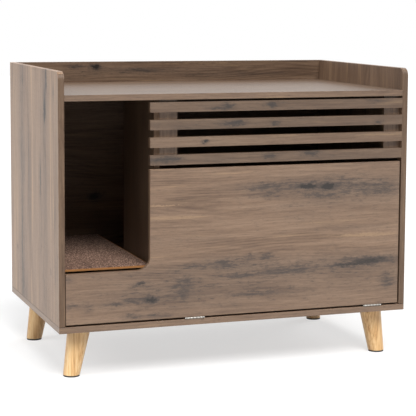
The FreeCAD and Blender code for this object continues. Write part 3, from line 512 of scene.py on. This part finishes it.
hinge_steel = metal("hinge_steel", (0.47, 0.445, 0.41), 0.42, ripple=118.0)
zinc = metal("zinc_plate", (0.66, 0.67, 0.70), 0.40, (500.0, 500.0, 500.0))
dress([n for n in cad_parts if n.startswith("hinge_") and n.endswith("_leaf")], hinge_steel)
dress(["hinge_pins", "catch_strike_plates"], hinge_steel)
dress([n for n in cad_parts
       if n.endswith(("_screws", "_bolts", "_nuts")) or n == "cam_discs"], zinc)
dress(["catch_magnets"], metal("ferrite", (0.10, 0.10, 0.11), 0.62, (400.0, 400.0, 400.0)))

CATCH_BROWNS = (0.055, 0.034, 0.022, 1), (0.090, 0.058, 0.040, 1)
STIPPLE_DEPTH = 0.00005
catch_plastic, graph, shader = finish_material("catch_plastic")
place = graph.object_place()
stipple = graph.noise(place, (1400.0, 1400.0, 1400.0), 1.0)
mottle = graph.noise(place, (90.0, 90.0, 90.0), 2.0)
paint(graph, shader, graph.mix(mottle, *CATCH_BROWNS),
      graph.math("MULTIPLY_ADD", stipple, 0.2, 0.38))
emboss(graph, shader, stipple, STIPPLE_DEPTH)
dress(["magnet_catch_left", "magnet_catch_right"], catch_plastic)

# --- Carpeted step -------------------------------------------------------------------------------
# A loose 5 mm fibreboard, its sawn edge a raw orange-brown, with needle felt glued on top. The felt
# is a mix of brown, cream and dark fibres with a short nap. It lies on three battens.

SAWN_BROWNS = (0.22, 0.078, 0.020, 1), (0.50, 0.235, 0.072, 1)
SAWN_DEPTH = 0.0002
fibreboard, graph, shader = finish_material("fibreboard_edge")
place = graph.object_place()
fibres = graph.noise(place, (700.0, 700.0, 2600.0), 3.0, 0.65)
patches = graph.math("MULTIPLY", graph.noise(place, (35.0, 35.0, 35.0), 2.0), 0.3)
paint(graph, shader, graph.mix(graph.math("MULTIPLY_ADD", fibres, 0.7, patches), *SAWN_BROWNS),
      graph.math("MULTIPLY_ADD", fibres, 0.2, 0.62))
emboss(graph, shader, fibres, SAWN_DEPTH)
dress(["carpet_board_core"], fibreboard)
dress(["carpet_batten_left", "carpet_batten_partition"], oak_board(
    "oak_batten_side", "Y", "X", shift=(0.4, 0.8, 0.0)))
dress(["carpet_batten_rear"], oak_board("oak_batten_rear", "X", "Y", shift=(2.4, 1.8, 0.0)))

FELT_COLUMNS, FELT_ROWS = 150, 330
FELT_LIE, FELT_NAP = 0.00010, 0.00014
FELT_ROLL, FELT_DROP = 0.0016, 0.0005
FELT_SHARE = 0.72
# Each wave of the nap: its direction and rate, then its wander's direction, rate and strength.
NAP_WAVES = [
    ((1, 0), 2300, (0, 1), 710, 3), ((0, 1), 1900, (1, 0), 830, 3), ((1, 1), 1300, (1, -1), 470, 2),
]


def felt_sheet(low, high):
    """The felt's upper side over a rectangle.

    z = top - lie - drop * (1 - s)^2 + nap * waves * s, with s the distance from the edge over
    the roll, at most 1, and waves the mean of three crossed sines whose phases wander.
    """
    u, v = np.meshgrid(np.linspace(0, 1, FELT_COLUMNS), np.linspace(0, 1, FELT_ROWS))
    x = low.x + (high.x - low.x) * u
    y = low.y + (high.y - low.y) * v
    edge = np.minimum(np.minimum(x - low.x, high.x - x), np.minimum(y - low.y, high.y - y))
    s = np.clip(edge / FELT_ROLL, 0, 1)
    waves = sum(
        np.sin((x * a + y * b) * rate + strength * np.sin((x * c + y * d) * slow))
        for (a, b), rate, (c, d), slow, strength in NAP_WAVES
    ) / len(NAP_WAVES)
    z = high.z - FELT_LIE + FELT_NAP * waves * s - FELT_DROP * (1 - s) ** 2
    points = np.stack([x, y, z], -1).reshape(-1, 3)
    index = np.arange(FELT_COLUMNS * FELT_ROWS).reshape(FELT_ROWS, FELT_COLUMNS)
    corners = [index[:-1, :-1], index[:-1, 1:], index[1:, 1:], index[1:, :-1]]
    faces = np.stack(corners, -1).reshape(-1, 4)
    mesh = bpy.data.meshes.new("carpet_felt")
    mesh.from_pydata(points.tolist(), [], faces.tolist())
    mesh.polygons.foreach_set("use_smooth", np.ones(len(faces), bool))
    piece = bpy.data.objects.new("carpet_felt", mesh)
    bpy.context.scene.collection.objects.link(piece)
    return piece


felt_low, felt_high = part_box("carpet_board_felt")
felt = felt_sheet(felt_low, felt_high)
thick = felt.modifiers.new("felt_thickness", "SOLIDIFY")
thick.thickness = (felt_high.z - felt_low.z) * FELT_SHARE
thick.offset = -1

FELT_TWIST = 0.006
FELT_TONES = [
    (0.38, (0.030, 0.014, 0.009)), (0.47, (0.105, 0.052, 0.034)),
    (0.53, (0.205, 0.112, 0.076)), (0.61, (0.520, 0.345, 0.255)),
]
FELT_PALE = (0.34, 0.22, 0.17, 1)
FELT_DEPTH = 0.0007
felt_material, graph, shader = finish_material("needle_felt")
place = graph.object_place()
twist = graph.math("MULTIPLY", graph.noise(place, (130.0, 130.0, 130.0), 2.0), FELT_TWIST)
curled = graph.vector("ADD", place, graph.join(twist, twist, 0.0))
flecks = graph.noise(place, (285.0, 142.0, 285.0), 4.0, 0.72)
strands = graph.noise(curled, (1500.0, 420.0, 400.0), 2.0, 0.6)
strands_across = graph.noise(curled, (420.0, 1500.0, 400.0), 2.0, 0.6)
weave = graph.math("MAXIMUM", strands, strands_across)
felt_colour = graph.colours(flecks, FELT_TONES)
felt_colour = graph.mix(graph.ramp(weave, 0.50, 0.78, 0.0, 0.30), felt_colour, FELT_PALE)
paint(graph, shader, felt_colour, 0.95)
shader.inputs["Specular IOR Level"].default_value = 0.15
shader.inputs["Sheen Weight"].default_value = 0.15
shader.inputs["Sheen Roughness"].default_value = 0.5
shader.inputs["Sheen Tint"].default_value = (0.80, 0.66, 0.58, 1)
fuzz = graph.math("ADD", weave, graph.math("MULTIPLY", flecks, 0.6))
emboss(graph, shader, fuzz, FELT_DEPTH)
felt.data.materials.append(felt_material)
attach(felt, "carpet")
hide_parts("carpet_board_felt")

# --- Legs ----------------------------------------------------------------------------------------
# Turned and tapered from pale solid wood under clear lacquer, leaning outwards, with a black rubber
# pad under each foot.

legs = [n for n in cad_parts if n.startswith("leg_") and not n.endswith(("_bolts", "_nuts"))]
LEG_TONES = [
    (0.38, (0.440, 0.195, 0.065)), (0.45, (0.700, 0.400, 0.160)),
    (0.53, (0.860, 0.560, 0.265)), (0.64, (0.920, 0.680, 0.380)),
]
LEG_CUT = (0.31, 0.17, 0.53)
LEG_LEAN = 0.02
LEG_SHARES = 0.55, 0.20, 0.25
LEG_DEPTH = 0.00012
for number, name in enumerate(legs):
    leg_wood, graph, shader = finish_material(f"leg_wood_{name}")
    cut = tuple(number * step for step in LEG_CUT)
    place = graph.vector("ADD", graph.object_place(), cut)
    lean = graph.math("MULTIPLY", graph.noise(place, (14.0, 14.0, 5.0), 2.0), LEG_LEAN)
    bent = graph.vector("ADD", place, graph.join(lean, 0.0, 0.0))
    streaks = graph.noise(bent, (210.0, 210.0, 5.0), 4.0, 0.62)
    fine = graph.noise(place, (900.0, 900.0, 28.0), 2.0, 0.6)
    broad = graph.noise(place, (60.0, 60.0, 4.0), 2.0)
    tone = graph.math("MULTIPLY", broad, LEG_SHARES[2])
    tone = graph.math("MULTIPLY_ADD", fine, LEG_SHARES[1], tone)
    tone = graph.math("MULTIPLY_ADD", streaks, LEG_SHARES[0], tone)
    paint(graph, shader, graph.colours(tone, LEG_TONES),
          graph.math("MULTIPLY_ADD", fine, 0.15, 0.34))
    shader.inputs["Coat Weight"].default_value = 0.25
    shader.inputs["Coat Roughness"].default_value = 0.25
    emboss(graph, shader, graph.math("ADD", streaks, fine), LEG_DEPTH)
    dress([name], leg_wood)

PAD_BLACKS = (0.010, 0.010, 0.011, 1), (0.026, 0.025, 0.025, 1)
PAD_DEPTH = 0.00008
rubber, graph, shader = finish_material("pad_rubber")
place = graph.object_place()
pebble = graph.noise(place, (900.0, 900.0, 900.0), 2.0)
smears = graph.noise(place, (120.0, 120.0, 120.0), 3.0)
paint(graph, shader, graph.mix(smears, *PAD_BLACKS),
      graph.math("MULTIPLY_ADD", pebble, 0.25, 0.55))
emboss(graph, shader, pebble, PAD_DEPTH)
dress([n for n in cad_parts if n.startswith("foot_pad_")], rubber)

# --- Dowels --------------------------------------------------------------------------------------
# Short round pegs of pale hardwood that line the boards up beside the cams. They lie hidden in
# their holes.

DOWEL_TONES = (0.52, 0.34, 0.18, 1), (0.78, 0.60, 0.40, 1)
dowel_wood, graph, shader = finish_material("dowel_wood")
speckle = graph.noise(graph.object_place(), (400.0, 400.0, 400.0), 3.0)
paint(graph, shader, graph.mix(speckle, *DOWEL_TONES), 0.7)
dress(["wooden_dowels"], dowel_wood)

# --- Studio --------------------------------------------------------------------------------------
# A white floor that keeps a soft grey shadow, a broad lamp high in front, weaker ones on the left
# and behind on the right, and faint light from all round. The camera and the gloss see only white.

SHADE_LIFT = 0.60
FLOOR_GREY = 0.44
FLOOR_BOUNCE = 0.60
FLOOR_REACH = 14.0
floor_mesh = bpy.data.meshes.new("studio_floor")
corners = np.array([[-1, -1, 0], [1, -1, 0], [1, 1, 0], [-1, 1, 0]]) * FLOOR_REACH
floor_mesh.from_pydata(corners.tolist(), [], [(0, 1, 2, 3)])
floor = bpy.data.objects.new("studio_floor", floor_mesh)
bpy.context.scene.collection.objects.link(floor)


def seen_directly(graph):
    """1 for rays from the camera, from gloss and through glass, 0 for those that light things."""
    paths = graph.add("ShaderNodeLightPath").outputs
    gloss_or_glass = graph.math("MAXIMUM", paths["Is Glossy Ray"], paths["Is Transmission Ray"])
    return graph.math("MAXIMUM", paths["Is Camera Ray"], gloss_or_glass)


floor_material = bpy.data.materials.new("studio_floor")
floor_material.use_nodes = True
graph = Graph(floor_material.node_tree)
floor_material.node_tree.nodes.clear()
seen = seen_directly(graph)
floor_shade = graph.mix(seen, (*[FLOOR_BOUNCE] * 3, 1), (*[FLOOR_GREY] * 3, 1))
matt = graph.add("ShaderNodeBsdfDiffuse", {"Color": floor_shade}).outputs[0]
lift = graph.math("MULTIPLY", seen, SHADE_LIFT)
glow = graph.add("ShaderNodeEmission", {"Color": (1, 1, 1, 1), "Strength": lift}).outputs[0]
both = graph.add("ShaderNodeAddShader", {0: matt, 1: glow}).outputs[0]
graph.add("ShaderNodeOutputMaterial", {"Surface": both})
floor_mesh.materials.append(floor_material)


def lamp(name, direction, level, softness):
    """A distant soft lamp; level is the brightness it gives a white card that faces it."""
    data = bpy.data.lights.new(name, "SUN")
    data.energy = level * math.pi
    data.angle = math.radians(softness)
    made = bpy.data.objects.new(name, data)
    made.rotation_euler = Vector(direction).to_track_quat("Z", "Y").to_euler()
    bpy.context.scene.collection.objects.link(made)


lamp("front_lamp", (0.0, -0.64, 0.77), 1.07, 32)
lamp("left_lamp", (-0.75, -0.05, 0.66), 0.42, 35)
lamp("low_lamp", (-0.75, -0.55, 0.20), 0.05, 40)
lamp("back_lamp", (0.80, 0.42, 0.42), 0.45, 40)
AIR_LEVEL = 0.025
world = bpy.data.worlds.new("studio_air")
bpy.context.scene.world = world
world.use_nodes = True
graph = Graph(world.node_tree)
world.node_tree.nodes.clear()
air_level = graph.math("MULTIPLY_ADD", seen_directly(graph), 1.0 - AIR_LEVEL, AIR_LEVEL)
air = graph.add(
    "ShaderNodeBackground", {"Color": (1, 1, 1, 1), "Strength": air_level}).outputs[0]
graph.add("ShaderNodeOutputWorld", {"Surface": air})
bpy.context.scene.view_settings.view_transform = "Standard"
